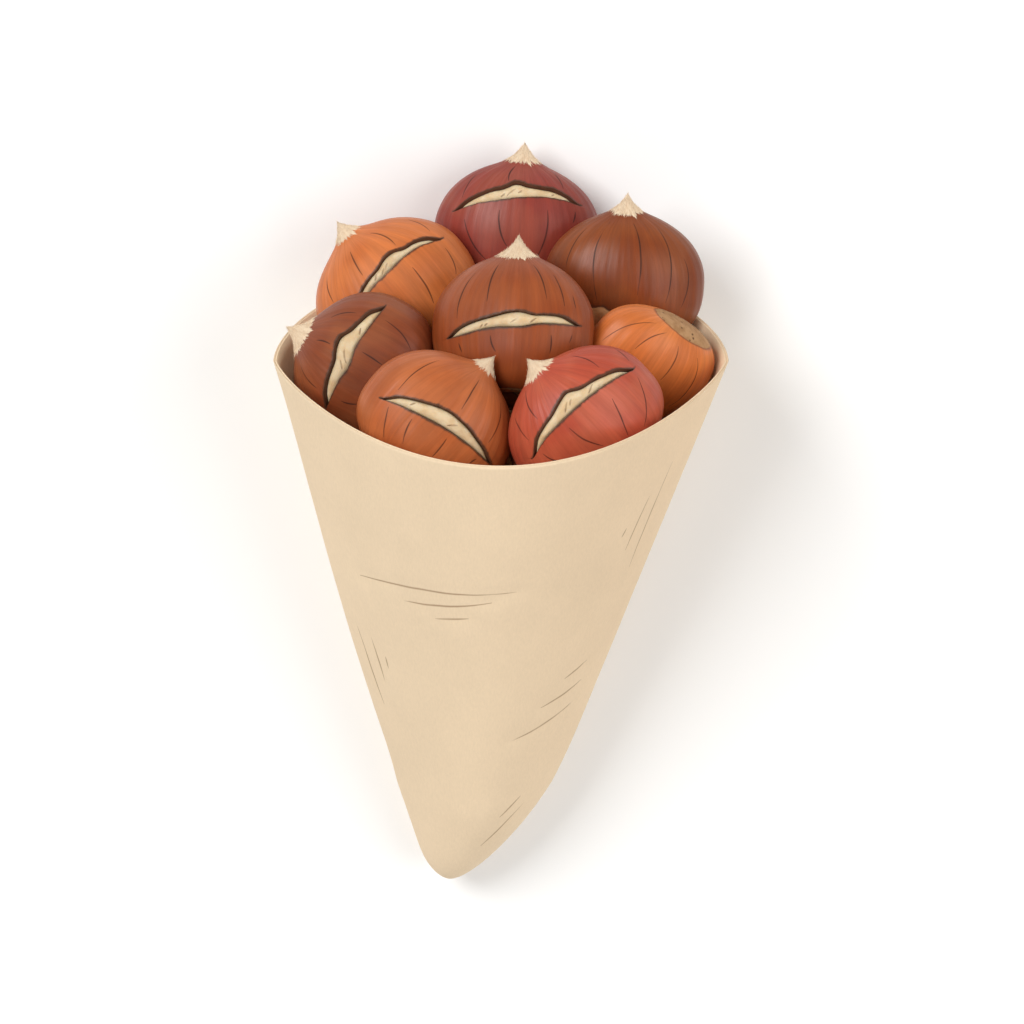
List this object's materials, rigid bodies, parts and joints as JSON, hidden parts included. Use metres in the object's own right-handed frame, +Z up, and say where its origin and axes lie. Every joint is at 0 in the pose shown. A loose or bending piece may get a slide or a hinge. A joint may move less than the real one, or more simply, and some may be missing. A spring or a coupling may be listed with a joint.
{
  "type": "roasted chestnuts in a paper cone",
  "caption": "Roasted chestnuts with slit shells and cream kernels, heaped to over the rim of a plain rolled paper cone that lies on its back.",
  "frame": {"origin": "on the table, on the flat strip of paper that the cone lies on, straight below the middle of the mouth", "axes": "+Y along the table from the cone's tip to its mouth, +X to the right across the mouth, +Z up"},
  "size_m": [0.107, 0.1796, 0.0955],
  "materials": {
    "paper": "kraft paper, matt, softly creased",
    "shell_maroon": "roasted chestnut shell, dark red brown, satin, downy pale point",
    "shell_orange": "roasted chestnut shell, orange brown, satin, downy pale point",
    "shell_brown": "roasted chestnut shell, mid brown, satin, downy pale point",
    "shell_dark": "roasted chestnut shell, dark brown, satin, downy pale point",
    "shell_tan": "roasted chestnut shell, light brown, satin, downy pale point",
    "shell_red": "roasted chestnut shell, red brown, satin, downy pale point",
    "kernel": "roasted kernel, cream, matt, finely wrinkled"
  },
  "bodies": {
    "root": {"paper_cone": "paper", "shell_back": "shell_maroon", "kernel_back": "kernel", "shell_back_left": "shell_orange", "kernel_back_left": "kernel", "shell_middle": "shell_brown", "kernel_middle": "kernel", "shell_left": "shell_dark", "kernel_left": "kernel", "shell_front_left": "shell_tan", "kernel_front_left": "kernel", "shell_front_right": "shell_red", "kernel_front_right": "kernel", "chestnut_back_right": "shell_brown", "chestnut_right": "shell_orange", "chestnut_under_left": "shell_brown", "chestnut_under_middle": "shell_brown", "chestnut_under_back": "shell_brown", "chestnut_under_right": "shell_brown", "chestnut_deep_left": "shell_brown", "chestnut_deep_back": "shell_brown", "chestnut_deep_right": "shell_brown"}
  },
  "joints": []
}
